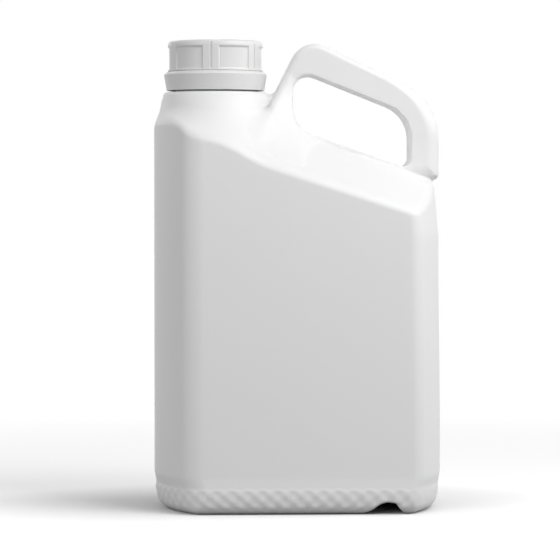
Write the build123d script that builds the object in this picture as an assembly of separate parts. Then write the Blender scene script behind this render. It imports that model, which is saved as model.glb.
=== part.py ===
from build123d import *
import math
import os

# A blow-moulded five litre bottle with an offset neck, a loop handle and a screw cap.
# Millimetres, +Z up, floor at zero, label panels facing -Y and +Y, handle towards +X.

# Body seen from above: flat label panels, rounded corners and bulged ends
body_width = 194.0
body_depth = 128.0
neck_end_radius = 100.0
neck_end_corner = 20.0
handle_end_radius = 120.0
handle_end_corner = 10.0
least_corner = 2.0
wall = 1.3

# Shoulder: the wall stops on a slanted plane and a hipped roof rises to the ridge
wall_top_height = 224.6
wall_top_slope = 17.9
wall_top_rounding = 8.0
wall_top_steps = 3
wall_top_inner_steps = 1
wall_end_share = 0.15
ridge_rise = 27.8
ridge_slope = 19.3
ridge_width = 37.0
ridge_corner = 15.5
ridge_left_end = 44.0
ridge_right_end = 92.6

# Base: a narrower grip band, a flat foot, a raised bottom and a finger recess
band_height = 16.7
band_blend = 8.6
band_step = 2.2
foot_rounding = 6.0
bottom_rise = 1.8
foot_width = 14.0
recess_left = 44.5
recess_right = 71.0
recess_height = 7.6
recess_left_run = 11.5
recess_right_run = 6.0
recess_rounding = 5.0

# Neck and its seat for the cap
neck_offset = 55.5
seat_rise = 28.1
seat_radius = 34.9
neck_height = 31.3
neck_radius = 27.0
neck_bore_radius = 23.8
bead_radius = 30.6
bead_bottom = 5.6
bead_height = 2.6
bead_land = 1.0
lip_chamfer = 0.6
cone_end_gap = 1.2

# Handle: a hollow loop in the mid plane, drawn by its outer edge and its finger hole.
# Rises and drops are measured from the ridge where it passes over the origin
handle_depth = 36.0
handle_wall = 1.7
handle_rounding = 4.0
post_foot_x = -15.9
saddle_rise = 26.1
front_top_x = 3.7
front_top_rise = 65.9
front_top_radius = 16.3
rear_top_x = 95.3
rear_top_rise = 22.0
rear_top_radius = 41.0
rear_foot_drop = 31.0
rear_foot_radius = 4.0
handle_root_depth = 20.0
hole_left = -3.8
hole_right = 75.8
hole_top_rise = 43.1
hole_top_slope = 21.8
hole_bottom_rise = 2.4
hole_radii = (18.0, 5.5, 23.5, 11.5)
hole_chamfer = 1.5

# Root of the front post: it sweeps out to the roof on both sides as it comes down
root_radius = 76.0
root_top_rise = 44.1
root_top_slope = 45.0
root_steps = 3
root_inset = 0.5
root_top_right = 6.0
root_foot_right = 14.0
root_foot_corner = 16.0

# Cap, tamper-evident ring and sealing liner
cap_radius = 32.1
cap_bore_radius = 29.7
cap_top_thickness = 1.8
cap_skirt_height = 20.4
cap_chamfer = 0.8
panel_count = 6
panel_angle = 38.5
panel_depth = 1.0
panel_margin = 1.6
panel_top_margin = 3.4
rib_groove_width = 1.3
rib_groove_depth = 0.6
rib_direction = -97.0
liner_thickness = 1.4
liner_clearance = 0.5
ring_radius = 34.8
ring_foot_radius = 33.0
ring_gap = 0.45
ring_chamfer = 2.0
ring_seat_clearance = 1.1
ring_wall = 1.7
hook_clearance = 0.3
hook_height = 2.2
bridge_count = 12
bridge_width = 1.2
bridge_height = 0.35

# Heights and turns that follow from the sizes above
ridge_height = wall_top_height + ridge_rise
seat_height = ridge_height + seat_rise
lip_height = seat_height + neck_height
cap_top = lip_height + liner_thickness + cap_top_thickness
cap_bottom = cap_top - cap_skirt_height
ring_top = cap_bottom - ring_gap
ring_bottom = seat_height + ring_seat_clearance
far = 2 * (body_width + wall_top_height)
wall_top_turn = math.atan2((body_depth - ridge_width) / 2, ridge_rise)
ridge_turn = math.pi / 2 - wall_top_turn
wall_top_fall = math.tan(wall_top_turn / 2)
ridge_fall = math.tan(math.radians(ridge_slope))


def plan(inset, end_inset=None):
    """The body's outline seen from above, moved inwards by inset, and at its ends by end_inset."""
    if end_inset is None:
        end_inset = inset
    outline = Rectangle(body_width, body_depth - 2 * inset)
    for side, end_radius in ((-1, neck_end_radius), (1, handle_end_radius)):
        bulge = Pos(side * (body_width / 2 - end_radius), 0) * Circle(end_radius - end_inset)
        outline &= bulge + Pos(-side * far / 2, 0) * Rectangle(far, far)
    corners = outline.vertices().group_by(Axis.X)
    outline = fillet(corners[0], max(neck_end_corner - inset, least_corner))
    corners = outline.vertices().group_by(Axis.X)
    return fillet(corners[-1], max(handle_end_corner - inset, least_corner))


def slanted_plane(height, slope):
    """A plane that falls towards the handle side, at this height over the origin."""
    angle = math.radians(slope)
    across = (math.cos(angle), 0, -math.sin(angle))
    upwards = (math.sin(angle), 0, math.cos(angle))
    return Plane(origin=(0, 0, height), x_dir=across, z_dir=upwards)


def slanted_outline(outline, height):
    """The face where the slanted plane at this height cuts a column of this outline."""
    plane = slanted_plane(height, wall_top_slope)
    column = extrude(outline, far) - extrude(plane * Rectangle(far, far), far)
    return column.faces().filter_by(plane)[0]


def walls(inset):
    """The upright walls, from the base band up to the rounding at their top."""
    band = extrude(plan(band_step + inset), band_height)
    foot_edges = band.faces().sort_by(Axis.Z)[0].edges()
    if inset > 0:
        band = chamfer(foot_edges, foot_rounding - inset)
    else:
        band = fillet(foot_edges, foot_rounding)
    step = loft([
        Pos(0, 0, band_height) * plan(band_step + inset),
        Pos(0, 0, band_height + band_blend) * plan(inset),
    ])
    top_drop = (wall_top_rounding + inset) * wall_top_fall
    top = slanted_plane(wall_top_height - top_drop, wall_top_slope)
    upper = Pos(0, 0, band_height + band_blend) * extrude(plan(inset), far)
    upper -= extrude(top * Rectangle(far, far), far)
    return band + step + upper


def roof(inset):
    """The rounded top of the walls, and the hipped roof from there up to the ridge."""
    sections = []
    steps = wall_top_inner_steps if inset > 0 else wall_top_steps
    for step in range(steps + 1):
        angle = wall_top_turn * step / steps
        inwards = wall_top_rounding * (1 - math.cos(angle))
        rise = wall_top_rounding * math.sin(angle) - (wall_top_rounding + inset) * wall_top_fall
        outline = plan(inset + inwards, inset + inwards * wall_end_share)
        sections.append(slanted_outline(outline, wall_top_height + rise))
    stretch = 1 / math.cos(math.radians(ridge_slope))
    shrink = inset * math.tan(ridge_turn / 2)
    ridge = slanted_plane(ridge_height - inset * stretch, ridge_slope)
    length = (ridge_right_end + ridge_left_end - 2 * shrink) * stretch
    middle = (ridge_right_end - ridge_left_end) / 2 * stretch
    outline = RectangleRounded(length, ridge_width - 2 * shrink, ridge_corner - shrink)
    sections.append(ridge * Pos(middle, 0) * outline)
    return loft(sections, ruled=True)


def neck_cone(inset):
    """The cone that gathers the shoulder into the round seat under the cap."""
    shoulder = slanted_plane(wall_top_height - inset * wall_top_fall, wall_top_slope)
    reach = body_width / 2 - neck_offset - cone_end_gap - inset
    half_depth = body_depth / 2 - cone_end_gap - inset
    oval = shoulder * Ellipse(reach / math.cos(math.radians(wall_top_slope)), half_depth)
    rise = neck_offset * math.tan(math.radians(wall_top_slope))
    start = Pos(-neck_offset, 0, rise) * oval
    finish = Pos(-neck_offset, 0, seat_height - inset) * Circle(seat_radius - inset)
    return loft([start, finish], ruled=True)


def hole_outline(inset):
    """The finger hole: upright ends, and long edges that fall with the shoulder."""
    top_fall = math.tan(math.radians(hole_top_slope))
    left = hole_left - inset
    right = hole_right + inset
    top = ridge_height + hole_top_rise + inset / math.cos(math.radians(hole_top_slope))
    bottom = ridge_height + hole_bottom_rise - inset / math.cos(math.radians(ridge_slope))
    corners = [
        (left, bottom - left * ridge_fall),
        (right, bottom - right * ridge_fall),
        (right, top - right * top_fall),
        (left, top - left * top_fall),
    ]
    return rounded_outline(corners, [radius + inset for radius in hole_radii])


def rounded_outline(corners, radii):
    """A face in the XZ plane with straight edges and one rounding for each corner."""
    face = make_face(Polyline(corners, close=True))
    for corner, radius in zip(corners, radii):
        if radius > 0:
            nearest = face.vertices().sort_by_distance((corner[0], corner[1], 0))[0]
            face = fillet(nearest, radius)
    return face


def handle_loop(inset):
    """The handle: its outline less the finger hole, as thick as a hand holds, edges rounded."""
    sunk = ridge_height + hole_bottom_rise - handle_root_depth
    rear_foot = ridge_height - rear_foot_drop
    seat_edge = seat_radius - neck_offset - handle_rounding
    corners = [
        (seat_edge, sunk - seat_edge * ridge_fall),
        (hole_right, sunk - hole_right * ridge_fall),
        (hole_right, rear_foot),
        (rear_top_x, rear_foot),
        (rear_top_x, ridge_height + rear_top_rise),
        (front_top_x, ridge_height + front_top_rise),
        (post_foot_x, ridge_height + saddle_rise),
        (seat_edge, ridge_height + saddle_rise),
    ]
    radii = [0, 0, 0, rear_foot_radius, rear_top_radius, front_top_radius, 0, 0]
    outline = rounded_outline(corners, radii)
    if inset > 0:
        outline = offset(outline, -inset)
    profile = Plane.XZ * (outline - hole_outline(inset))
    loop = extrude(profile, handle_depth / 2 - inset, both=True)
    if inset > 0:
        return loop
    sides = loop.faces().filter_by(Axis.Y)
    loop = fillet([edge for side in sides for edge in side.outer_wire().edges()], handle_rounding)
    sides = loop.faces().filter_by(Axis.Y)
    return chamfer([edge for side in sides for edge in side.inner_wires()[0].edges()], hole_chamfer)


def post_root(inset):
    """The front post's root: sections that widen along an arc from the post to the roof."""
    lean = (front_top_x - post_foot_x) / (front_top_rise - saddle_rise)
    sections = []
    for step in range(root_steps + 1):
        share = step / root_steps
        angle = wall_top_turn * share
        slope = root_top_slope + (ridge_slope - root_top_slope) * share
        fall = math.tan(math.radians(slope))
        half_depth = handle_depth / 2 - root_inset + root_radius
        half_depth -= (root_radius + inset) * math.cos(angle)
        rise = root_top_rise - (root_radius + inset) * math.sin(angle)
        left = post_foot_x + (rise - saddle_rise) * lean
        left = left / (1 + fall * lean) + root_inset + inset
        right = root_top_right + (root_foot_right - root_top_right) * share - inset
        corner = handle_rounding + (root_foot_corner - handle_rounding) * share
        stretch = 1 / math.cos(math.radians(slope))
        outline = RectangleRounded((right - left) * stretch, 2 * half_depth, corner)
        plane = slanted_plane(ridge_height + rise, slope)
        sections.append(plane * Pos((left + right) / 2 * stretch, 0) * outline)
    hole = extrude(Plane.XZ * hole_outline(inset), body_depth, both=True)
    return loft(sections) - hole


def finger_recess(extra):
    """The channel under the base for the fingers of the hand that tips the bottle."""
    left = recess_left - extra
    right = recess_right + extra
    top = recess_height + extra
    arch = Polyline(
        (left - recess_left_run, -recess_height),
        (left + recess_left_run, top),
        (right - recess_right_run, top),
        (right + recess_right_run, -recess_height),
        close=True,
    )
    profile = make_face(arch)
    corners = profile.vertices().group_by(Axis.Y)[-1]
    profile = fillet(corners, recess_rounding)
    return extrude(Plane.XZ * profile, body_depth, both=True)


def raised_bottom(extra):
    """The raised middle of the base, which leaves the bottle a flat foot to stand on."""
    return extrude(plan(foot_width - extra), bottom_rise + extra)


def neck():
    """The neck finish: a plain tube for the thread, with the bead that keeps the ring."""
    axis = Pos(-neck_offset, 0, 0)
    tube_height = neck_height + wall
    tube = axis * Pos(0, 0, seat_height - wall) * extrude(Circle(neck_radius), tube_height)
    tube = chamfer(tube.edges().sort_by(Axis.Z)[-1], lip_chamfer)
    bead = Polyline(
        (0, seat_height + bead_bottom),
        (bead_radius, seat_height + bead_bottom),
        (bead_radius, seat_height + bead_bottom + bead_land),
        (neck_radius, seat_height + bead_bottom + bead_height),
        (0, seat_height + bead_bottom + bead_height),
        close=True,
    )
    return tube + axis * revolve(Plane.XZ * make_face(bead), Axis.Z)


def bottle():
    """The blown shell: body, shoulder, neck and hollow handle in one piece."""
    shell = walls(0) + roof(0)
    shell += neck_cone(0)
    shell += handle_loop(0)
    shell += post_root(0)
    shell -= finger_recess(0)
    shell -= raised_bottom(0)
    room = walls(wall)
    room += roof(wall)
    room += neck_cone(wall)
    room += handle_loop(handle_wall)
    room += post_root(handle_wall)
    room -= extrude(Rectangle(far, far), wall)
    room -= finger_recess(wall)
    room -= raised_bottom(wall)
    shell -= room
    shell += neck()
    shell -= Pos(-neck_offset, 0, seat_height - 2 * wall) * extrude(Circle(neck_bore_radius), far)
    return shell


def screw_cap():
    """The moulded cap: a plain bore, with recessed panels between pairs of ribs outside."""
    shell = extrude(Circle(cap_radius), cap_skirt_height)
    shell = chamfer(shell.edges().sort_by(Axis.Z)[-1], cap_chamfer)
    shell -= extrude(Circle(cap_bore_radius), cap_skirt_height - cap_top_thickness)
    height = cap_skirt_height - panel_margin - panel_top_margin
    step = 360 / panel_count
    reach = 2 * cap_radius
    ring = Circle(reach) - Circle(cap_radius - panel_depth)
    half = math.radians(panel_angle / 2)
    wedge = make_face(Polyline(
        (0, 0),
        (reach, -reach * math.tan(half)),
        (reach, reach * math.tan(half)),
        close=True,
    ))
    panel = Pos(0, 0, panel_margin) * extrude(ring & wedge, height)
    groove = Box(
        2 * rib_groove_depth, rib_groove_width, height,
        align=(Align.CENTER, Align.CENTER, Align.MIN),
    )
    for number in range(panel_count):
        turn = rib_direction + number * step
        shell -= Rot(0, 0, turn + step / 2) * panel
        shell -= Rot(0, 0, turn) * Pos(cap_radius, 0, panel_margin) * groove
    return Pos(-neck_offset, 0, cap_bottom) * shell


def tamper_ring():
    """The band that stays on the neck, with its hook under the bead and its broken bridges."""
    hook_top = seat_height + bead_bottom - hook_clearance
    hook_radius = (neck_radius + bead_radius) / 2
    inner_radius = ring_foot_radius - ring_wall
    outline = Polyline(
        (inner_radius, ring_bottom),
        (ring_foot_radius, ring_bottom),
        (ring_radius, ring_top - ring_chamfer),
        (cap_radius, ring_top),
        (inner_radius, ring_top),
        (inner_radius, hook_top),
        (hook_radius, hook_top),
        (inner_radius, hook_top - hook_height),
        close=True,
    )
    band = revolve(Plane.XZ * make_face(outline), Axis.Z)
    middle = (inner_radius + cap_radius) / 2
    bridge = Box(
        ring_wall / 2, bridge_width, bridge_height,
        align=(Align.CENTER, Align.CENTER, Align.MIN),
    )
    for number in range(bridge_count):
        turn = rib_direction + number * 360 / bridge_count
        band += Rot(0, 0, turn) * Pos(middle, 0, ring_top) * bridge
    return Pos(-neck_offset, 0, 0) * band


def cap_liner():
    """The sealing wad between the cap's top and the lip of the neck."""
    return Pos(-neck_offset, 0, lip_height) * extrude(
        Circle(cap_bore_radius - liner_clearance), liner_thickness)


def main():
    """Write one STEP file for each piece of the bottle."""
    os.makedirs("parts", exist_ok=True)
    for piece in (bottle, screw_cap, tamper_ring, cap_liner):
        export_step(piece(), "parts/" + piece.__name__ + ".step")


main()
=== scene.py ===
import math
import bpy
import numpy as np
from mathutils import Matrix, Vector


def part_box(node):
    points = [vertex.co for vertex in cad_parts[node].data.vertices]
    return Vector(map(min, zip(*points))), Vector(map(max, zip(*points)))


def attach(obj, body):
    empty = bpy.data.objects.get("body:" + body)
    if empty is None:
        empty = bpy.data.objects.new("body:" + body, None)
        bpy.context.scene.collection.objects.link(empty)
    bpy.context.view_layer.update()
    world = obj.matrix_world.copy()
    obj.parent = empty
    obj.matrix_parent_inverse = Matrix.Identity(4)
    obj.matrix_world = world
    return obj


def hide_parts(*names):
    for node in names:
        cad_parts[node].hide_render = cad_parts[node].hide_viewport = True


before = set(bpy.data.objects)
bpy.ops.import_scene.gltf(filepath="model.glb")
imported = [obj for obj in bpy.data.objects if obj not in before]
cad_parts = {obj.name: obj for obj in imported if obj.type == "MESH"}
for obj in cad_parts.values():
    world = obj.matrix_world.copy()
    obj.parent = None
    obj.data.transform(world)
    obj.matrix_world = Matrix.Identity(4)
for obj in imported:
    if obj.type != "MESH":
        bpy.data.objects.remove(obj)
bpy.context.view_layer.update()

# Shapes are worked out in millimetres, in the frame's own axes, and turned to metres at the end.
# A stretch is a start and a length: what grows on it is 0 before it and 1 after it.
MM = 0.001
cap_low, cap_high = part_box("screw_cap")
ring_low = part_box("tamper_ring")[0]
liner_low, liner_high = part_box("cap_liner")
AXIS_X = (cap_low.x + cap_high.x) / 2 / MM

# Body: flat label panels, rounded corners and bulged ends
HALF_WIDTH = 96.72
HALF_DEPTH = 63.35
NECK_END_RADIUS = 100.0
NECK_END_CORNER = 20.0
NECK_END_TURN = math.radians(50.2)
HANDLE_END_RADIUS = 120.0
HANDLE_END_CORNER = 10.0
HANDLE_END_TURN = math.radians(57.8)
WALL = 1.3

# Shoulder: a slanted edge above the panels, a hipped roof, and a crest under the finger hole
WALL_TOP = 224.6
WALL_FALL = 0.3236
CREST = 252.4
CREST_FALL = 0.35
CREST_HALF_WIDTH = 18.5
HIP_HEIGHT = 256.0
HIP_RISE = 0.2226
EDGE_RADIUS = 8.0
EDGE_TURN = math.radians(58.6)
CREST_SOFTNESS = 4.0
HIP_SOFTNESS = 6.0

# The handle's end leans in up the wall, and above a height by this share of the climb too
RIGHT_LEAN = 1.2
RIGHT_LEAN_STRETCH = (50, 130)
RIGHT_LEAN_TOP = 0.09
RIGHT_LEAN_TOP_START = 184
RIGHT_LEAN_FADE = 50

# Neck: the cone that gathers the shoulder into the seat, and the finish for the cap
SEAT = 280.5
SEAT_RADIUS = 34.9
CONE_REACH = 40.3
CONE_HALF_DEPTH = 62.8
CONE_BLEND = 12.0
SEAT_SOFTNESS = 2.0
NECK_RADIUS = 27.0
BORE_RADIUS = 23.8
SKIN_HOLE_RADIUS = 25.4
LIP = 311.8
BEAD_RADIUS = 30.6
BEAD_BOTTOM = 286.1
BEAD_TOP = 288.7
THREAD_PITCH = 6.0
THREAD_TURNS = 1.8
NECK_THREAD_RISE = 1.9
CAP_THREAD_RISE = 1.8
THREAD_CREST = 0.5
THREAD_FLANK = 1.1
THREAD_RUN_OUT = 0.06
NECK_THREAD_START = BEAD_TOP + 6.0

# Handle: an outline in the mid plane, its thickness, and the finger hole
HANDLE_HALF_DEPTH = 18.0
POST_FOOT = (-29.9, 250.0)
SADDLE_LEFT = -30.0
SADDLE_HEIGHT = 278.5
SADDLE_FILLET = 4.0
TOP_CORNER = (3.7, 318.3)
TOP_RADIUS = 16.3
REAR_CORNER = (95.3, 274.4)
REAR_RADIUS = 41.0
REAR_FOOT = (95.3, 221.4)
REAR_FOOT_RADIUS = 4.0
HANDLE_ROOT = 20.0
OUTER_RIM = 4.0
OUTER_RIM_REAR = 9.5
OUTER_RIM_STRETCH = (58, 30)
HOLE_RIM = 0.8
HOLE_RIM_LEFT = 2.6
HOLE_RIM_MARGIN = 2
HOLE_RIM_FADE = 12
HOLE_LEFT = -3.8
HOLE_RIGHT = 75.8
HOLE_TOP = 295.5
HOLE_TOP_FALL = 0.4
HOLE_BOTTOM = 254.8
HOLE_RADII = (18.0, 5.5, 23.5, 11.5)
HANDLE_FILLET = 3.0

# The soft valley between the neck's cone and the front post
VALLEY_FILL = 8.0
VALLEY_X = (-22, 18)
VALLEY_Y = (10, 8)
VALLEY_Z = (244, 14)
VALLEY_TOP = 274
VALLEY_TOP_FADE = 12

# The front post's root: how it spreads downwards, and the thinner fillet at its foot
ROOT_FOOT_THIN = 2.0
ROOT_FOOT_X = (30, 20)
ROOT_FOOT_Z = (240, 10)
ROOT_RADIUS = 76.0
ROOT_TOP = 44.1
ROOT_TURN = math.radians(58.6)
ROOT_TOP_SLOPE = math.radians(45.0)
ROOT_FOOT_SLOPE = math.radians(19.3)
ROOT_FADE = (0.0, 19.0)
ROOT_INSET = 0.5
ROOT_TOP_MARGIN = 1
ROOT_DEPTH = 10
ROOT_RIGHT_MARGIN = 4
ROOT_ROUNDS = 4

# Base: a narrower grip band with low bumps, a flat foot and a recess for the fingers
BAND_HEIGHT = 16.5
BAND_BLEND = 9.0
BAND_STEP = 1.3
PANEL_RECESS = 0.5
BAND_TUCK = 4.0
BAND_TUCK_LIMIT = 1.2
BAND_TUCK_POWER = 2.2
FOOT_RADIUS = 6.5
FOOT_WIDTH = 14.0
FOOT_INNER_RADIUS = 0.8
BOTTOM_RISE = 1.8
BOTTOM_SOFTNESS = 1.0
BUMP_PITCH = 10.0
BUMP_ROW_PITCH = 9.5
BUMP_RISE = 0.6
BUMP_TOP_ROW = 13.9
BUMP_START = (0.8, 2.4)
BUMP_ROOM = 1.6
BUMP_FADE = 3.0
BUMP_CORNER_LOSS = 0.75
BUMP_CORNER_FADE = 12
RECESS_LEFT = 41.8
RECESS_LEFT_SLOPE = 0.72
RECESS_RIGHT = 68.2
RECESS_RIGHT_SLOPE = 1.4
RECESS_HEIGHT = 8.3
RECESS_ROUNDING = 1.6
RECESS_RIM = 1.5

# The mould's parting seam, which ends short of the neck's seat
SEAM_RISE = 0.22
SEAM_WIDTH = 0.55
SEAM_START = (1, 4)
SEAM_END_MARGIN = 6
SEAM_END_FADE = 4
SEAM_NECK_REACH = 10

# Grids that the skins are found on, with finer bands (from, to, step) for edges and the seam
GRID = 2.0
INNER_GRID = 4.0
GRID_MARGIN = 3
GRID_BOTTOM = -2.0
GRID_TOP = 316
REAR_BAND = (13, 19, 1.0)
FRONT_BAND = (-19, -13, 1.0)
SEAM_BAND = (-1.1, 1.0, 0.3)
BASE_BAND = (-2.0, 20.0, 1.0)


def rounded_max(a, b, radius):
    """What lies in both shapes, with their common edge rounded off."""
    inner = np.minimum(np.maximum(a, b), -radius)
    return inner + np.hypot(np.maximum(a + radius, 0), np.maximum(b + radius, 0))


def rounded_min(a, b, radius):
    """What lies in either shape, with a fillet in the valley between them."""
    outer = np.maximum(np.minimum(a, b), radius)
    return outer - np.hypot(np.maximum(radius - a, 0), np.maximum(radius - b, 0))


def ease(share):
    """0 below nought, 1 above one, and a smooth S between them."""
    share = np.clip(share, 0, 1)
    return share * share * (3 - 2 * share)


def along(place, stretch):
    """0 before a stretch and 1 after it, with a smooth S on it."""
    start, length = stretch
    return ease((place - start) / length)


def edge_softness(radius, turn):
    """The softness that rounds an edge, where a surface turns by this angle, to this radius."""
    return radius * (1 - math.cos(turn))


def line_distance(x, z, start, end):
    """Distance to the left of the line from start to end, in the mid plane."""
    along_x, along_z = end[0] - start[0], end[1] - start[1]
    length = math.hypot(along_x, along_z)
    return ((z - start[1]) * along_x - (x - start[0]) * along_z) / length


def rounded_corner(x, z, before, corner, after, radius):
    """Distance from a wedge of two lines whose corner is an arc: the greater of the distances
    from its lines, and beyond the arc's ends the distance from its centre less its radius.
    The outline runs clockwise, so that outside is to the left."""
    first = line_distance(x, z, before, corner)
    second = line_distance(x, z, corner, after)
    plain = np.maximum(first, second)
    one = np.array([corner[0] - before[0], corner[1] - before[1]])
    two = np.array([after[0] - corner[0], after[1] - corner[1]])
    one, two = one / np.linalg.norm(one), two / np.linalg.norm(two)
    out_one, out_two = np.array([-one[1], one[0]]), np.array([-two[1], two[0]])
    middle = (out_one + out_two) / (1 + out_one @ out_two)
    centre = np.array(corner) - radius * middle
    off_x, off_z = x - centre[0], z - centre[1]
    past_first = off_x * one[0] + off_z * one[1] > 0
    past_second = off_x * two[0] + off_z * two[1] < 0
    return np.where(past_first & past_second, np.hypot(off_x, off_z) - radius, plain)


def plan_distance(x, y, lean=0.0, recess=0.0, step=0.0):
    """Distance from the body's outline seen from above: two flat panels and two bulged ends,
    each with its own radius and its own rounded corners. The panels can lie a little deeper,
    the ends can step in, and the handle's end can lean in."""
    flat = np.abs(y) - HALF_DEPTH + recess
    neck_end = np.hypot(x + HALF_WIDTH - NECK_END_RADIUS, y) - NECK_END_RADIUS + step
    handle_end = np.hypot(x - HALF_WIDTH + HANDLE_END_RADIUS, y) - HANDLE_END_RADIUS + step + lean
    left = rounded_max(flat, neck_end, edge_softness(NECK_END_CORNER, NECK_END_TURN))
    right = rounded_max(flat, handle_end, edge_softness(HANDLE_END_CORNER, HANDLE_END_TURN))
    return np.where(x < 0, left, right)


def outline_lengths():
    """The distance round the body's outline, as a table over the direction from its middle."""
    angles = np.linspace(-np.pi, np.pi, 1441)
    near, distant = np.zeros_like(angles), np.full_like(angles, 2 * HALF_WIDTH)
    for halving in range(40):
        radius = (near + distant) / 2
        outside = plan_distance(radius * np.cos(angles), radius * np.sin(angles)) > 0
        near, distant = np.where(outside, near, radius), np.where(outside, radius, distant)
    x, y = radius * np.cos(angles), radius * np.sin(angles)
    lengths = np.concatenate([[0], np.cumsum(np.hypot(np.diff(x), np.diff(y)))])
    return angles, lengths


BUMP_ANGLES, BUMP_LENGTHS = outline_lengths()
BUMP_COUNT = round(BUMP_LENGTHS[-1] / BUMP_PITCH)


def base_bumps(x, y, z):
    """Rise of the low bumps on the grip band: a product of two cosines, one round the base and
    one upwards, which gives staggered rows, faded out above the band and past the recess."""
    length = np.interp(np.arctan2(y, x), BUMP_ANGLES, BUMP_LENGTHS)
    across = 2 * np.pi * BUMP_COUNT * length / BUMP_LENGTHS[-1]
    upwards = 2 * np.pi * (z - BUMP_TOP_ROW) / BUMP_ROW_PITCH
    bump = 0.5 + 0.5 * np.cos(across) * np.cos(upwards)
    rows = along(z, BUMP_START) * (1 - ease((z - BUMP_TOP_ROW - BUMP_ROOM) / BUMP_FADE))
    corner = 1 - BUMP_CORNER_LOSS * ease((x - RECESS_RIGHT) / BUMP_CORNER_FADE)
    return BUMP_RISE * rows * corner * bump


def walls(x, y, z):
    """Distance from the upright walls. At the grip band the ends step in and the panels come
    out again, and below it everything tucks in towards the foot. The right end leans in."""
    above = ease((z - BAND_HEIGHT) / BAND_BLEND)
    lean = RIGHT_LEAN * along(z, RIGHT_LEAN_STRETCH)
    lean = lean + RIGHT_LEAN_TOP * np.maximum(z - RIGHT_LEAN_TOP_START, 0)
    lean = lean * ease(x / RIGHT_LEAN_FADE)
    tuck = BAND_TUCK * np.clip(1 - z / BAND_HEIGHT, 0, BAND_TUCK_LIMIT) ** BAND_TUCK_POWER
    return plan_distance(x, y, lean, PANEL_RECESS * above, BAND_STEP * (1 - above)) + tuck


def roof(x, y, z):
    """Distance from the hipped roof: two slopes, the crest between them and the hip on the left."""
    wall_top = WALL_TOP - WALL_FALL * x
    crest = CREST - CREST_FALL * x
    pitch = (crest - wall_top) / (HALF_DEPTH - CREST_HALF_WIDTH)
    rise = z - wall_top - (HALF_DEPTH - np.abs(y)) * pitch
    slope = rise / np.sqrt(1 + pitch ** 2 + WALL_FALL ** 2)
    top = (z - crest) / math.hypot(1, CREST_FALL)
    hip = (z - HIP_HEIGHT - (x + HALF_WIDTH) * HIP_RISE) / math.hypot(1, HIP_RISE)
    return rounded_max(rounded_max(slope, top, CREST_SOFTNESS), hip, HIP_SOFTNESS)


def neck_cone(x, y, z):
    """Distance from the cone under the neck: an ellipse on the shoulder's slanted edge that
    shrinks in even steps to the round seat."""
    wall_top = WALL_TOP - WALL_FALL * x
    share = np.clip((z - wall_top) / (SEAT - wall_top), 0, 1)
    reach = CONE_REACH + (SEAT_RADIUS - CONE_REACH) * share
    depth = CONE_HALF_DEPTH + (SEAT_RADIUS - CONE_HALF_DEPTH) * share
    across = x - AXIS_X
    scale = np.hypot(across / reach, y / depth)
    slope = np.hypot(across / reach ** 2, y / depth ** 2)
    side = scale * (scale - 1) / np.maximum(slope, 1e-6)
    steepness = (CONE_HALF_DEPTH - SEAT_RADIUS) / (SEAT - WALL_TOP + WALL_FALL * AXIS_X)
    lean = 1 / np.sqrt(1 + (steepness * y / np.maximum(np.hypot(across, y), 1e-6)) ** 2)
    return rounded_max(side * lean, z - SEAT, SEAT_SOFTNESS)


def hole(x, z):
    """Distance from the finger hole in the mid plane: four lines with four rounded corners."""
    def below(place):
        return (place, HOLE_BOTTOM - CREST_FALL * place)

    def above(place):
        return (place, HOLE_TOP - HOLE_TOP_FALL * place)

    corners = [below(HOLE_LEFT), above(HOLE_LEFT), above(HOLE_RIGHT), below(HOLE_RIGHT)]
    radii = [HOLE_RADII[0], HOLE_RADII[3], HOLE_RADII[2], HOLE_RADII[1]]
    distance = -1e3
    for number in range(4):
        before, after = corners[number - 1], corners[(number + 1) % 4]
        wedge = rounded_corner(x, z, before, corners[number], after, radii[number])
        distance = np.maximum(distance, wedge)
    return distance


def handle_outline(x, z):
    """Distance from the handle's outer edge in the mid plane, with the low saddle that joins
    its front post to the neck."""
    root = HOLE_BOTTOM - HANDLE_ROOT - CREST_FALL * x
    below = np.where(x < HOLE_RIGHT, root - z, REAR_FOOT[1] - z)
    front = rounded_corner(x, z, POST_FOOT, TOP_CORNER, REAR_CORNER, TOP_RADIUS)
    front = np.maximum(rounded_min(front, z - SADDLE_HEIGHT, SADDLE_FILLET), SADDLE_LEFT - x)
    rear = rounded_corner(x, z, TOP_CORNER, REAR_CORNER, REAR_FOOT, REAR_RADIUS)
    foot = rounded_max(x - REAR_FOOT[0], REAR_FOOT[1] - z, REAR_FOOT_RADIUS)
    foot = np.where(x < HOLE_RIGHT, -1e3, foot)
    return np.maximum(np.maximum(front, rear), np.maximum(below, foot))


def handle_loop(x, y, z):
    """Distance from the handle: its outline and its two faces, with a rim between them that
    grows rounder towards the rear post."""
    rim = OUTER_RIM + (OUTER_RIM_REAR - OUTER_RIM) * along(x, OUTER_RIM_STRETCH)
    return rounded_max(handle_outline(x, z), np.abs(y) - HANDLE_HALF_DEPTH, rim)


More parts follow.
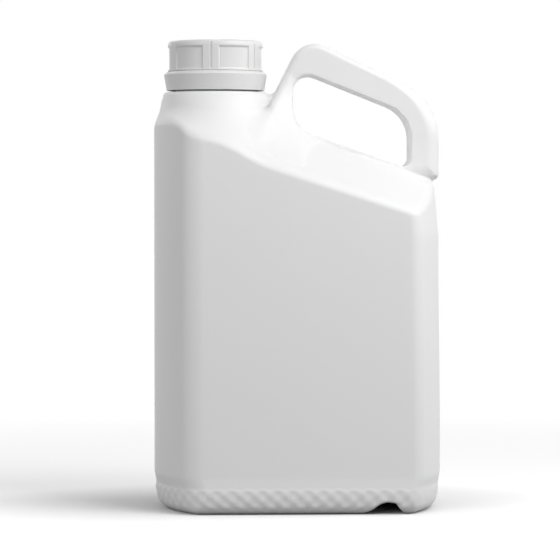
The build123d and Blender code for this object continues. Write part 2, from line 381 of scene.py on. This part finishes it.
def post_root(x, y, z):
    """Distance from the front post's root. Its half depth grows downwards along an arc, from
    the post's own to the roof's, and fades to the post's own at the right. The levels of the
    arc lie on planes that tilt from the post's shoulder to the roof, so the turn along the arc
    is found by repeating the sum a few times."""
    turn = ROOT_TURN / 2
    for repeat in range(ROOT_ROUNDS):
        slope = ROOT_TOP_SLOPE + (ROOT_FOOT_SLOPE - ROOT_TOP_SLOPE) * turn / ROOT_TURN
        fallen = (ROOT_TOP - (z - CREST) - x * np.tan(slope)) / ROOT_RADIUS
        turn = np.arcsin(np.clip(fallen, 0, math.sin(ROOT_TURN)))
    spread = ROOT_RADIUS * (1 - np.cos(turn)) * (1 - along(x, ROOT_FADE))
    side = (np.abs(y) - HANDLE_HALF_DEPTH + ROOT_INSET - spread) * np.cos(turn)
    top = (z + x - CREST - ROOT_TOP - ROOT_TOP_MARGIN) * math.sqrt(0.5)
    front = line_distance(x, z, POST_FOOT, TOP_CORNER)
    under = CREST - HANDLE_ROOT - CREST_FALL * x - z - ROOT_DEPTH
    ends = np.maximum(np.maximum(top, under), x - sum(ROOT_FADE) - ROOT_RIGHT_MARGIN)
    return np.maximum(rounded_max(side, front, OUTER_RIM), ends)


def recess(x, z):
    """Distance from the finger recess under the base: a flat top between two slopes."""
    left = (z - RECESS_LEFT_SLOPE * (x - RECESS_LEFT)) / math.hypot(1, RECESS_LEFT_SLOPE)
    right = (z + RECESS_RIGHT_SLOPE * (x - RECESS_RIGHT)) / math.hypot(1, RECESS_RIGHT_SLOPE)
    arch = rounded_max(left, z - RECESS_HEIGHT, RECESS_ROUNDING)
    return rounded_max(arch, right, RECESS_ROUNDING)


def skin(x, y, z):
    """Distance from the bottle's blown form without its bumps: the roof and the cone joined,
    cut by the walls and the floor, joined to the handle and its root, and pierced."""
    shoulder = rounded_min(roof(x, y, z), neck_cone(x, y, z), CONE_BLEND)
    side = walls(x, y, z)
    form = rounded_max(side, shoulder, edge_softness(EDGE_RADIUS, EDGE_TURN))
    form = rounded_max(form, -z, FOOT_RADIUS)
    raised = rounded_max(side + FOOT_WIDTH, z - BOTTOM_RISE, BOTTOM_SOFTNESS)
    form = rounded_max(form, -raised, FOOT_INNER_RADIUS)
    form = rounded_max(form, -recess(x, z), RECESS_RIM)
    root = np.maximum(post_root(x, y, z), side)
    handle = np.minimum(handle_loop(x, y, z), root)
    valley = (1 - along(x, VALLEY_X)) * along(np.abs(y), VALLEY_Y)
    valley = valley * ease((VALLEY_TOP - z) / VALLEY_TOP_FADE)
    valley = valley * along(z, VALLEY_Z)
    foot = (1 - along(z, ROOT_FOOT_Z)) * (1 - along(x, ROOT_FOOT_X))
    form = rounded_min(form, handle, HANDLE_FILLET - ROOT_FOOT_THIN * foot + VALLEY_FILL * valley)
    inward = ease((x - HOLE_LEFT - HOLE_RIM_MARGIN) / HOLE_RIM_FADE)
    rim = HOLE_RIM_LEFT + (HOLE_RIM - HOLE_RIM_LEFT) * inward
    return rounded_max(form, -hole(x, z), rim)


def outer_skin(x, y, z):
    """The outside of the bottle: its form, the bumps on its base and the seam of the mould."""
    seam = SEAM_RISE * np.exp(-(y / SEAM_WIDTH) ** 2) * along(z, SEAM_START)
    near_seat = ease((z - SEAT + SEAM_END_MARGIN) / SEAM_END_FADE) * (x < SADDLE_LEFT + SEAM_NECK_REACH)
    seam = seam * (1 - near_seat)
    return skin(x, y, z) - base_bumps(x, y, z) - seam


def inner_skin(x, y, z):
    """The inside of the bottle, one wall thickness in from the outside."""
    return skin(x, y, z) + WALL


def graded(low, high, step, *bands):
    """Grid places from low to high, even but for bands of (from, to, finer step)."""
    places = [low]
    while places[-1] < high:
        finer = [size for start, end, size in bands if start <= places[-1] + 1e-6 < end]
        places.append(places[-1] + min([step] + finer))
    return np.array(places)


def level_surface(field, axes):
    """Surface nets: each grid cell that the surface passes through gets one point, the mean of
    the crossings on its edges, and each crossed grid edge gives one face through its four cells."""
    xs, ys, zs = axes
    values = field(xs[:, None, None], ys[None, :, None], zs[None, None, :])
    cells = tuple(count - 1 for count in values.shape)
    total, count = np.zeros(cells + (3,)), np.zeros(cells)
    crossings = []
    for axis in range(3):
        low = np.take(values, range(values.shape[axis] - 1), axis)
        high = np.take(values, range(1, values.shape[axis]), axis)
        place = np.argwhere((low < 0) != (high < 0))
        at_low, at_high = low[tuple(place.T)], high[tuple(place.T)]
        share = at_low / (at_low - at_high)
        spot = np.stack([axes[k][place[:, k]] for k in range(3)], 1)
        reach = axes[axis][place[:, axis] + 1] - axes[axis][place[:, axis]]
        spot[:, axis] += share * reach
        second, third = (axis + 1) % 3, (axis + 2) % 3
        for back_second, back_third in ((1, 1), (0, 1), (0, 0), (1, 0)):
            cell = place.copy()
            cell[:, second] -= back_second
            cell[:, third] -= back_third
            within = np.all((cell >= 0) & (cell < cells), 1)
            np.add.at(total, tuple(cell[within].T), spot[within])
            np.add.at(count, tuple(cell[within].T), 1)
        crossings.append((place, at_low < 0, second, third))
    used = count > 0
    number = np.full(cells, -1)
    number[used] = np.arange(used.sum())
    points = total[used] / count[used][:, None]
    faces = []
    for place, leaves, second, third in crossings:
        corners = []
        for back_second, back_third in ((1, 1), (0, 1), (0, 0), (1, 0)):
            cell = place.copy()
            cell[:, second] -= back_second
            cell[:, third] -= back_third
            corners.append(number[tuple(cell.T)])
        quads = np.stack(corners, 1)
        quads[~leaves] = quads[~leaves][:, ::-1]
        faces.append(quads)
    return points, np.concatenate(faces)


def slope_of(field, points, reach=0.05):
    """The field's slope at the points, from its values a little to each side."""
    slope = np.zeros_like(points)
    for axis in range(3):
        shift = np.zeros(3)
        shift[axis] = reach
        ahead, behind = points + shift, points - shift
        slope[:, axis] = (field(*ahead.T) - field(*behind.T)) / (2 * reach)
    return slope


def settle(field, points, rounds=5, longest=1.0):
    """Moves the points down the field's slope until they lie on its surface."""
    for turn in range(rounds):
        slope = slope_of(field, points)
        step = field(*points.T) / np.maximum((slope ** 2).sum(1), 1e-4)
        move = step[:, None] * slope
        size = np.linalg.norm(move, axis=1)[:, None]
        points = points - move * np.minimum(1, longest / np.maximum(size, 1e-9))
    slope = slope_of(field, points)
    return points, slope / np.maximum(np.linalg.norm(slope, axis=1)[:, None], 1e-9)


def open_at_neck(points, faces):
    """Takes away the faces inside the neck, and draws the edge that is left onto a circle
    within the neck's wall."""
    off = points[:, :2] - [AXIS_X, 0]
    radius = np.linalg.norm(off, axis=1)
    inside = (radius < SKIN_HOLE_RADIUS) & (points[:, 2] > SEAT - 8)
    faces = faces[~inside[faces].all(1)]
    kept = np.zeros(len(points), bool)
    kept[faces] = True
    drawn = inside & kept
    points = points.copy()
    points[drawn, :2] = [AXIS_X, 0] + off[drawn] * (SKIN_HOLE_RADIUS / radius[drawn])[:, None]
    return points, faces, kept


def tidied(points, faces, normals, kept):
    """The same surface with only the points that it uses."""
    number = np.cumsum(kept) - 1
    return points[kept], number[faces], normals[kept]


def grown_skin(field, axes, flipped):
    """One skin of the blown bottle, as points, faces and normals."""
    points, faces = level_surface(field, axes)
    points, normals = settle(field, points)
    points, faces, kept = open_at_neck(points, faces)
    points, faces, normals = tidied(points, faces, normals, kept)
    if flipped:
        faces, normals = faces[:, ::-1], -normals
    return points, faces, normals


def softened(corners, radii, steps=3):
    """A closed profile whose corners are small arcs, drawn as quadratic curves. The radii are
    one number, or one for each corner."""
    corners = np.array(corners, float)
    before, after = np.roll(corners, 1, 0), np.roll(corners, -1, 0)
    drawn = []
    for left, corner, right, radius in zip(before, corners, after, np.zeros(len(corners)) + radii):
        to_left, to_right = left - corner, right - corner
        reach_left = min(radius, 0.45 * np.linalg.norm(to_left))
        reach_right = min(radius, 0.45 * np.linalg.norm(to_right))
        start = corner + to_left / np.linalg.norm(to_left) * reach_left
        end = corner + to_right / np.linalg.norm(to_right) * reach_right
        share = np.linspace(0, 1, steps + 1)[:, None]
        drawn.append((1 - share) ** 2 * start + 2 * share * (1 - share) * corner + share ** 2 * end)
    return np.concatenate(drawn)


def subdivided(profile, longest):
    """The closed profile with points added, so that no stretch is longer than this."""
    after = np.roll(profile, -1, 0)
    pieces = []
    for start, end in zip(profile, after):
        count = max(1, math.ceil(np.linalg.norm(end - start) / longest))
        share = np.arange(count)[:, None] / count
        pieces.append(start + (end - start) * share)
    return np.concatenate(pieces)


def turned(radius, height, angles):
    """A closed profile carried round the neck's axis. Radius and height are arrays over the
    angle and the place on the profile, and the profile runs so that faces point outwards."""
    x = AXIS_X + radius * np.cos(angles)[:, None]
    y = radius * np.sin(angles)[:, None]
    points = np.stack([x, y, height + 0 * x], 2)
    around, along = points.shape[:2]
    number = np.arange(around * along).reshape(around, along)
    ahead, up = np.roll(number, -1, 0), np.roll(number, -1, 1)
    faces = np.stack([number, ahead, np.roll(ahead, -1, 1), up], 2).reshape(-1, 4)
    points = points.reshape(-1, 3)
    return points, faces, face_normals(points, faces)


def face_normals(points, faces):
    """Normals at the points, each the mean of its faces' normals, weighted by their areas."""
    one = points[faces[:, 2]] - points[faces[:, 0]]
    two = points[faces[:, 3]] - points[faces[:, 1]]
    area = np.cross(one, two)
    normals = np.zeros_like(points)
    for corner in range(4):
        np.add.at(normals, faces[:, corner], area)
    return normals / np.maximum(np.linalg.norm(normals, axis=1)[:, None], 1e-12)


def thread_ridge(angles, height, start, turns):
    """A helix that rises by one pitch a turn: 1 on its crest, 0 between turns, and faded at
    both of its ends."""
    turn = angles / (2 * np.pi)
    level = (height - start) / THREAD_PITCH - turn
    nearest = np.round(level)
    ridge = 1 - ease((np.abs(level - nearest) * THREAD_PITCH - THREAD_CREST) / THREAD_FLANK)
    travelled = nearest + turn
    return ridge * ease(travelled / THREAD_RUN_OUT) * ease((turns - travelled) / THREAD_RUN_OUT)


# Neck: its soft edges and how finely it is drawn. Within NEAR of a level counts as on it.
NECK_EDGE = 0.7
NECK_STEP = 0.7
NECK_SIDES = 180
NEAR = 0.1


def neck_finish():
    """The neck: a tube with a bead that keeps the ring, and a raised thread for the cap."""
    corners = [
        (BORE_RADIUS, SEAT - 1.6), (NECK_RADIUS, SEAT - 1.0), (NECK_RADIUS, BEAD_BOTTOM),
        (BEAD_RADIUS, BEAD_BOTTOM), (BEAD_RADIUS, BEAD_BOTTOM + 1.0), (NECK_RADIUS, BEAD_TOP),
        (NECK_RADIUS, LIP), (BORE_RADIUS, LIP),
    ]
    profile = subdivided(softened(corners, NECK_EDGE), NECK_STEP)
    angles = np.linspace(0, 2 * np.pi, NECK_SIDES + 1)[:-1]
    radius = np.repeat(profile[None, :, 0], len(angles), 0)
    height = np.repeat(profile[None, :, 1], len(angles), 0)
    outside = (profile[:, 0] > NECK_RADIUS - NEAR) & (profile[:, 1] > BEAD_TOP + 0.5)
    outside = outside & (profile[:, 1] < LIP - 1)
    ridge = thread_ridge(angles[:, None], height, NECK_THREAD_START, THREAD_TURNS)
    return turned(radius + NECK_THREAD_RISE * ridge * outside, height, angles)


def joined(*shapes):
    """Several shapes as one."""
    points, faces, normals, first = [], [], [], 0
    for shape in shapes:
        points.append(shape[0])
        faces.append(shape[1] + first)
        normals.append(shape[2])
        first += len(shape[0])
    return np.concatenate(points), np.concatenate(faces), np.concatenate(normals)


def piece(name, shape, body, replaced, material):
    """A mesh object of the shape, riding on its body and standing for its solid."""
    points, faces, normals = shape
    mesh = bpy.data.meshes.new(name)
    mesh.from_pydata((points * MM).tolist(), [], faces.tolist())
    mesh.shade_smooth()
    mesh.normals_split_custom_set_from_vertices(normals.tolist())
    mesh.materials.append(material)
    made = bpy.data.objects.new(name, mesh)
    bpy.context.scene.collection.objects.link(made)
    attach(made, body)
    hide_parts(replaced)
    return made


def bottle_shape():
    """The outer skin, on a grid that is finer at the base, the handle's edges and the seam,
    the inner skin on a coarser grid, and the neck. The skins' open edges lie within the
    neck's wall."""
    side, depth = HALF_WIDTH + GRID_MARGIN, HALF_DEPTH + GRID_MARGIN
    axes = (
        graded(-side, side, GRID),
        graded(-depth, depth, GRID, FRONT_BAND, SEAM_BAND, REAR_BAND),
        graded(GRID_BOTTOM, GRID_TOP, GRID, BASE_BAND),
    )
    inner_axes = (
        graded(-side, side, INNER_GRID),
        graded(-depth, depth, INNER_GRID),
        graded(GRID_BOTTOM, GRID_TOP, INNER_GRID),
    )
    return joined(
        grown_skin(outer_skin, axes, False),
        grown_skin(inner_skin, inner_axes, True),
        neck_finish(),
    )


# The cap's and the liner's profiles start this close to their axis
POLE = 0.01

# Cap: six recessed panels between pairs of ribs, and a thread inside
CAP_RADIUS = 32.1
CAP_BORE = 29.7
CAP_TOP = cap_high.z / MM
CAP_BOTTOM = cap_low.z / MM
CAP_TOP_THICKNESS = 1.8
CAP_EDGE = 0.9
CAP_TOP_EDGE = 3.0
PANEL_COUNT = 6
PANEL_HALF_ANGLE = 19.25
PANEL_DEPTH = 1.0
PANEL_BOTTOM_MARGIN = 0.9
PANEL_TOP_MARGIN = 4.4
GROOVE_HALF_ANGLE = 1.2
GROOVE_DEPTH = 0.7
GROOVE_TOP_MARGIN = 1.2
RIB_DIRECTION = -97.0
DENT_EDGE = 0.5
PANEL_SIDE_EDGE = 1.0
GROOVE_SIDE_EDGE = 0.8
CAP_THREAD_START = CAP_BOTTOM + 3.0
CAP_THREAD_MARGIN = 1.5
CAP_STEP = 0.6
FLAT_MARGIN = 1.0
FLAT_THINNING = 6


def cap_angles():
    """Directions round the cap, close together at the panels' edges and the grooves."""
    fine = np.arange(-2.4, 2.41, 0.4)
    half = 180 / PANEL_COUNT
    sector = np.concatenate([
        fine, np.arange(4, half - PANEL_HALF_ANGLE - 2, 2.0),
        half - PANEL_HALF_ANGLE + fine[fine > -2.2],
        np.arange(half - PANEL_HALF_ANGLE + 4, half + PANEL_HALF_ANGLE - 3.5, 2.4),
        half + PANEL_HALF_ANGLE + fine[fine < 2.2],
        np.arange(half + PANEL_HALF_ANGLE + 4, 2 * half - 4, 2.0),
    ])
    sector = np.unique(np.round(sector, 3))
    every = RIB_DIRECTION + np.arange(PANEL_COUNT)[:, None] * 2 * half + sector[None, :]
    return np.radians(every.ravel())


def cap_shape():
    """The cap: its skirt carries the panels and grooves as dents in its radius. Its flat
    stretches keep every sixth point, which leaves a pit at the pole, 0.6 mm in radius."""
    corners = [
        (CAP_BORE, CAP_BOTTOM), (CAP_RADIUS, CAP_BOTTOM), (CAP_RADIUS, CAP_TOP), (POLE, CAP_TOP),
        (POLE, CAP_TOP - CAP_TOP_THICKNESS), (CAP_BORE, CAP_TOP - CAP_TOP_THICKNESS),
    ]
    profile = subdivided(softened(corners, (0.3, 0.3, CAP_TOP_EDGE, POLE, POLE, CAP_EDGE)), CAP_STEP)
    flat = profile[:, 0] < CAP_BORE - FLAT_MARGIN
    profile = profile[~flat | (np.arange(len(profile)) % FLAT_THINNING == 0)]
    angles = cap_angles()
    radius = np.repeat(profile[None, :, 0], len(angles), 0)
    height = np.repeat(profile[None, :, 1], len(angles), 0)
    half = 180 / PANEL_COUNT
    place = (np.degrees(angles) - RIB_DIRECTION) % (2 * half)
    from_panel = np.abs(place - half)[:, None]
    from_groove = (half - np.abs(place - half))[:, None]
    rows = ease((height - CAP_BOTTOM - PANEL_BOTTOM_MARGIN) / DENT_EDGE)
    panel_rows = rows * ease((CAP_TOP - PANEL_TOP_MARGIN - height) / DENT_EDGE)
    groove_rows = rows * ease((CAP_TOP - GROOVE_TOP_MARGIN - height) / DENT_EDGE)
    panel = 1 - ease((from_panel - PANEL_HALF_ANGLE) / PANEL_SIDE_EDGE)
    groove = 1 - ease((from_groove - GROOVE_HALF_ANGLE + GROOVE_SIDE_EDGE / 2) / GROOVE_SIDE_EDGE)
    outside = profile[:, 0] > (CAP_RADIUS + CAP_BORE) / 2
    dent = PANEL_DEPTH * panel * panel_rows + GROOVE_DEPTH * groove * groove_rows
    in_bore = (np.abs(profile[:, 0] - CAP_BORE) < 0.3) & (profile[:, 1] > CAP_BOTTOM + CAP_THREAD_MARGIN)
    in_bore = in_bore & (profile[:, 1] < CAP_TOP - CAP_TOP_THICKNESS - CAP_THREAD_MARGIN)
    ridge = thread_ridge(angles[:, None] % (2 * np.pi), height, CAP_THREAD_START, THREAD_TURNS)
    return turned(radius - dent * outside - CAP_THREAD_RISE * ridge * in_bore, height, angles)


# Tamper ring: a wider band that stays on the neck, hooked under the bead
RING_RADIUS = 34.8
RING_FOOT_RADIUS = 33.0
RING_CHAMFER = 2.0
RING_INNER_RADIUS = 31.3
RING_HOOK_RADIUS = 28.8
RING_BOTTOM = ring_low.z / MM
RING_TOP = CAP_BOTTOM - 0.15
RING_EDGE = 0.35
RING_STEP = 1.2
RING_SIDES = 288
HOOK_ROOM = 0.3
HOOK_FOOT = 2.5
BRIDGE_COUNT = 12
BRIDGE_HALF_WIDTH = 0.4
BRIDGE_EDGE = 0.5
BRIDGE_RISE = 0.1


def ring_shape():
    """The tamper ring: a tapered band with a chamfer, a hook inside and broken bridges on top."""
    corners = [
        (RING_INNER_RADIUS, RING_BOTTOM), (RING_FOOT_RADIUS, RING_BOTTOM),
        (RING_RADIUS, RING_TOP - RING_CHAMFER), (CAP_RADIUS, RING_TOP),
        (RING_INNER_RADIUS, RING_TOP), (RING_INNER_RADIUS, BEAD_BOTTOM - HOOK_ROOM),
        (RING_HOOK_RADIUS, BEAD_BOTTOM - HOOK_ROOM), (RING_INNER_RADIUS, BEAD_BOTTOM - HOOK_FOOT),
    ]
    profile = subdivided(softened(corners, RING_EDGE), RING_STEP)
    angles = np.linspace(0, 2 * np.pi, RING_SIDES + 1)[:-1]
    radius = np.repeat(profile[None, :, 0], len(angles), 0)
    height = np.repeat(profile[None, :, 1], len(angles), 0)
    spacing = 2 * np.pi / BRIDGE_COUNT
    off = np.abs((angles - math.radians(RIB_DIRECTION) + spacing / 2) % spacing - spacing / 2)
    bridge = (1 - ease((off * CAP_RADIUS - BRIDGE_HALF_WIDTH) / BRIDGE_EDGE))[:, None]
    on_top = (profile[:, 1] > RING_TOP - NEAR) & (profile[:, 0] < CAP_RADIUS - NEAR)
    return turned(radius, height + BRIDGE_RISE * bridge * on_top, angles)


# Liner: a disc of foam sheet, taken from its solid's box
LINER_EDGE = 0.3
LINER_STEP = 4.0
LINER_SIDES = 120


def liner_shape():
    """The sealing wad: a thin disc with soft edges."""
    low, high, radius = liner_low.z / MM, liner_high.z / MM, (liner_high.x - liner_low.x) / 2 / MM
    corners = [(POLE, low), (radius, low), (radius, high), (POLE, high)]
    profile = subdivided(softened(corners, (POLE, LINER_EDGE, LINER_EDGE, POLE)), LINER_STEP)
    angles = np.linspace(0, 2 * np.pi, LINER_SIDES + 1)[:-1]
    ones = np.ones((len(angles), 1))
    return turned(ones * profile[None, :, 0], ones * profile[None, :, 1], angles)


def colour(code):
    """A hex sRGB colour as linear values."""
    values = np.array([int(code[k:k + 2], 16) for k in (0, 2, 4)]) / 255
    linear = np.where(values > 0.04045, ((values + 0.055) / 1.055) ** 2.4, values / 12.92)
    return (*linear, 1.0)


def add_node(tree, kind, settings=(), links=()):
    """A shader node with its settings, by socket name or number or by attribute name, and its
    incoming links."""
    node = tree.nodes.new(kind)
    for name, value in dict(settings).items():
        if isinstance(name, int) or name in node.inputs:
            node.inputs[name].default_value = value
        else:
            setattr(node, name, value)
    for name, source in dict(links).items():
        tree.links.new(source, node.inputs[name])
    return node


def plastic(name, tint, roughness, grain_mm, grain_strength, wave_mm, wave_strength):
    """A moulded plastic: a fine grain from the blasted mould and a slow waviness from shrinkage."""
    material = bpy.data.materials.new(name)
    material.use_nodes = True
    tree = material.node_tree
    tree.nodes.clear()
    place = add_node(tree, "ShaderNodeTexCoord")
    grain = add_node(tree, "ShaderNodeTexNoise", {"Scale": 1 / (grain_mm * MM), "Detail": 2.0},
                     {"Vector": place.outputs["Object"]})
    wave = add_node(tree, "ShaderNodeTexNoise", {"Scale": 1 / (wave_mm * MM), "Detail": 1.0},
                    {"Vector": place.outputs["Object"]})
    slow = add_node(tree, "ShaderNodeBump", {"Strength": wave_strength, "Distance": 0.001},
                    {"Height": wave.outputs["Fac"]})
    bump = add_node(tree, "ShaderNodeBump", {"Strength": grain_strength, "Distance": 0.0001},
                    {"Height": grain.outputs["Fac"], "Normal": slow.outputs["Normal"]})
    shader = add_node(tree, "ShaderNodeBsdfPrincipled",
                      {"Base Color": colour(tint), "Roughness": roughness, "IOR": 1.5},
                      {"Normal": bump.outputs["Normal"]})
    add_node(tree, "ShaderNodeOutputMaterial", {}, {"Surface": shader.outputs["BSDF"]})
    return material


def straight_rays(tree):
    """1 for rays from the camera, mirrored or seen through a clear piece too, and 0 for the
    soft light that the surroundings throw on the bottle."""
    path = add_node(tree, "ShaderNodeLightPath")
    seen = add_node(tree, "ShaderNodeMath", {"operation": "ADD", "use_clamp": True},
                    {0: path.outputs["Is Camera Ray"], 1: path.outputs["Is Glossy Ray"]})
    seen = add_node(tree, "ShaderNodeMath", {"operation": "ADD", "use_clamp": True},
                    {0: seen.outputs[0], 1: path.outputs["Is Transmission Ray"]})
    return seen.outputs[0]


# Studio paper: the grey that it throws back and the white that the eye sees, the strength of the painted
# glow that lifts it beside the bottle, 1 over the footprint's half width and half depth in metres, and
# the distances, in footprints and in metres, over which the painted glow and the plain white come in.
# The glow fades out towards the bottle, which paints a soft shade round its footprint on top of the real
# shadow.
PAPER_GREY = 0.35
PAPER_WHITE = 0.97
PAPER_PAINTED_GLOW = 0.36
FOOTPRINT = (10, 14.7, 0)
PAINTED_GLOW_FROM = 0.9
PAINTED_GLOW_TO = 2.4
PLAIN_FROM = 0.25
PLAIN_TO = 0.8


def grey(value):
    """An even grey, as a linear colour."""
    return (value, value, value, 1)


def floor_material():
    """Matt studio paper, grey for the light it throws back, and for the eye lifted to white outside the
    bottle's footprint by a painted glow, so that its soft shadow lies on plain white. The glow fades out
    towards the footprint, so round the bottle it paints a soft shade besides the real shadow."""
    material = bpy.data.materials.new("studio_paper_matt")
    material.use_nodes = True
    tree = material.node_tree
    tree.nodes.clear()
    seen = straight_rays(tree)
    tint = add_node(tree, "ShaderNodeMix",
                    {"data_type": "RGBA", 6: grey(PAPER_GREY), 7: grey(PAPER_WHITE)}, {0: seen})
    paper = add_node(tree, "ShaderNodeBsdfDiffuse", {}, {"Color": tint.outputs[2]})
    place = add_node(tree, "ShaderNodeTexCoord")
    footprint = add_node(tree, "ShaderNodeVectorMath", {"operation": "MULTIPLY", 1: FOOTPRINT},
                         {0: place.outputs["Object"]})
    beside = add_node(tree, "ShaderNodeVectorMath", {"operation": "LENGTH"}, {0: footprint.outputs[0]})
    # Painted glow: for the eye only, an emission lifts the paper more the farther it lies from the
    # footprint, so a soft painted shade rings the bottle's base.
    beside = add_node(tree, "ShaderNodeMapRange", {1: PAINTED_GLOW_FROM, 2: PAINTED_GLOW_TO, 4: PAPER_PAINTED_GLOW},
                      {0: beside.outputs["Value"]})
    painted_lift = add_node(tree, "ShaderNodeMath", {"operation": "MULTIPLY"}, {0: beside.outputs[0], 1: seen})
    painted_glow = add_node(tree, "ShaderNodeEmission", {"Color": (1, 1, 1, 1)}, {"Strength": painted_lift.outputs[0]})
    paper = add_node(tree, "ShaderNodeAddShader", {}, {0: paper.outputs[0], 1: painted_glow.outputs[0]})
    plain = add_node(tree, "ShaderNodeEmission", {"Color": (1, 1, 1, 1), "Strength": 1.0})
    away = add_node(tree, "ShaderNodeVectorMath", {"operation": "LENGTH"}, {0: place.outputs["Object"]})
    distant = add_node(tree, "ShaderNodeMapRange", {1: PLAIN_FROM, 2: PLAIN_TO},
                       {0: away.outputs["Value"]})
    share = add_node(tree, "ShaderNodeMath", {"operation": "MULTIPLY"}, {0: distant.outputs[0], 1: seen})
    mixed = add_node(tree, "ShaderNodeMixShader", {},
                     {0: share.outputs[0], 1: paper.outputs[0], 2: plain.outputs[0]})
    add_node(tree, "ShaderNodeOutputMaterial", {}, {"Surface": mixed.outputs[0]})
    return material


def studio_floor():
    """A wide floor under the bottle."""
    mesh = bpy.data.meshes.new("studio_floor")
    reach = 6.0
    mesh.from_pydata([(-reach, -reach, 0), (reach, -reach, 0), (reach, reach, 0), (-reach, reach, 0)],
                     [], [(0, 1, 2, 3)])
    floor = bpy.data.objects.new("studio_floor", mesh)
    bpy.context.scene.collection.objects.link(floor)
    mesh.materials.append(floor_material())


def world_light(strength):
    """An even pale surround: it lights softly, and shows as plain white behind the bottle."""
    world = bpy.data.worlds.new("studio_surround")
    bpy.context.scene.world = world
    world.use_nodes = True
    tree = world.node_tree
    tree.nodes.clear()
    soft = add_node(tree, "ShaderNodeBackground", {"Color": (1, 1, 1, 1), "Strength": strength})
    plain = add_node(tree, "ShaderNodeBackground", {"Color": (1, 1, 1, 1), "Strength": 1.0})
    mixed = add_node(tree, "ShaderNodeMixShader", {},
                     {0: straight_rays(tree), 1: soft.outputs[0], 2: plain.outputs[0]})
    add_node(tree, "ShaderNodeOutputWorld", {}, {"Surface": mixed.outputs[0]})


def soft_lamp(name, place, target, size, power):
    """A square soft box at a place, facing a target."""
    data = bpy.data.lights.new(name, "AREA")
    data.shape = "SQUARE"
    data.size = size
    data.energy = power
    lamp = bpy.data.objects.new(name, data)
    bpy.context.scene.collection.objects.link(lamp)
    lamp.location = place
    away = np.array(place, float) - np.array(target, float)
    lamp.rotation_euler = Vector(away).to_track_quat("Z", "Y").to_euler()


# Camera: the photograph's view, taken as 2 m away, a little to the left and 212 mm up. Focal length and
# frame are in pixels, and the two places are where the bottle's axis and the eye's height fall.
VIEW_TURN = math.radians(-3.0)
VIEW_DISTANCE = 2.0
VIEW_HEIGHT = 0.212
FOCAL_PIXELS = 2947.0
FRAME_PIXELS = 560
OBJECT_PIXEL_X = 297.3
EYE_PIXEL_Y = 193.8


def photo_camera():
    """The camera, aimed so that the bottle's axis falls on its pixel in the photograph."""
    data = bpy.data.cameras.new("photo_camera")
    data.sensor_width = 36.0
    data.lens = 36.0 * FOCAL_PIXELS / FRAME_PIXELS
    camera = bpy.data.objects.new("photo_camera", data)
    bpy.context.scene.collection.objects.link(camera)
    aside, ahead = VIEW_DISTANCE * math.sin(VIEW_TURN), VIEW_DISTANCE * math.cos(VIEW_TURN)
    camera.location = (aside, -ahead, VIEW_HEIGHT)
    middle = FRAME_PIXELS / 2
    pan = math.atan((OBJECT_PIXEL_X - middle) / FOCAL_PIXELS)
    down = math.atan((middle - EYE_PIXEL_Y) / FOCAL_PIXELS)
    camera.rotation_euler = (math.pi / 2 - down, 0, VIEW_TURN + pan)
    bpy.context.scene.camera = camera


# A blasted mould's grain is taken as 0.1 mm and a foam's cells as 0.3 mm. Both are too fine to
# show, so they are drawn coarser. The slow waves, 10 to 35 mm, stand for shrinkage.
# Blow-moulded HDPE: satin and a little uneven, so that the lamps' highlights spread and waver
bottle_plastic = plastic("hdpe_blown_white", "EDEDED", roughness=0.45, grain_mm=0.45,
                         grain_strength=0.25, wave_mm=35, wave_strength=0.15)
# Injection-moulded HDPE: denser and smoother, so that the ribs' edges catch a thin sheen
cap_plastic = plastic("hdpe_moulded_white", "E2E2E2", roughness=0.38, grain_mm=0.3,
                      grain_strength=0.15, wave_mm=20, wave_strength=0.05)
# Extruded polyethylene foam: dull, warm and pebbled, with no highlight
liner_plastic = plastic("pe_foam_sheet", "E6E4DE", roughness=0.7, grain_mm=0.6,
                        grain_strength=0.5, wave_mm=10, wave_strength=0.1)

piece("bottle_shell", bottle_shape(), "bottle_body", "bottle", bottle_plastic)
piece("cap_moulding", cap_shape(), "cap_body", "screw_cap", cap_plastic)
piece("ring_moulding", ring_shape(), "bottle_body", "tamper_ring", cap_plastic)
piece("liner_wad", liner_shape(), "liner_body", "cap_liner", liner_plastic)

studio_floor()
# Soft boxes: place, aim and side in metres, power in watts. The powers were fitted to the
# photograph's brightness, and then brought down until the roof kept its shading.
AIM = (0, 0, 0.15)
world_light(0.2)
soft_lamp("near_right", (0.45, -0.5, 0.75), AIM, 0.5, 4.6)
soft_lamp("far_right", (1.4, -0.2, 0.8), AIM, 1.0, 7.3)
soft_lamp("left_front", (-1.2, -1.2, 0.8), AIM, 1.2, 9.6)
soft_lamp("rear", (-1.0, 1.3, 0.9), AIM, 1.0, 3.0)
photo_camera()
bpy.context.scene.view_settings.view_transform = "Standard"
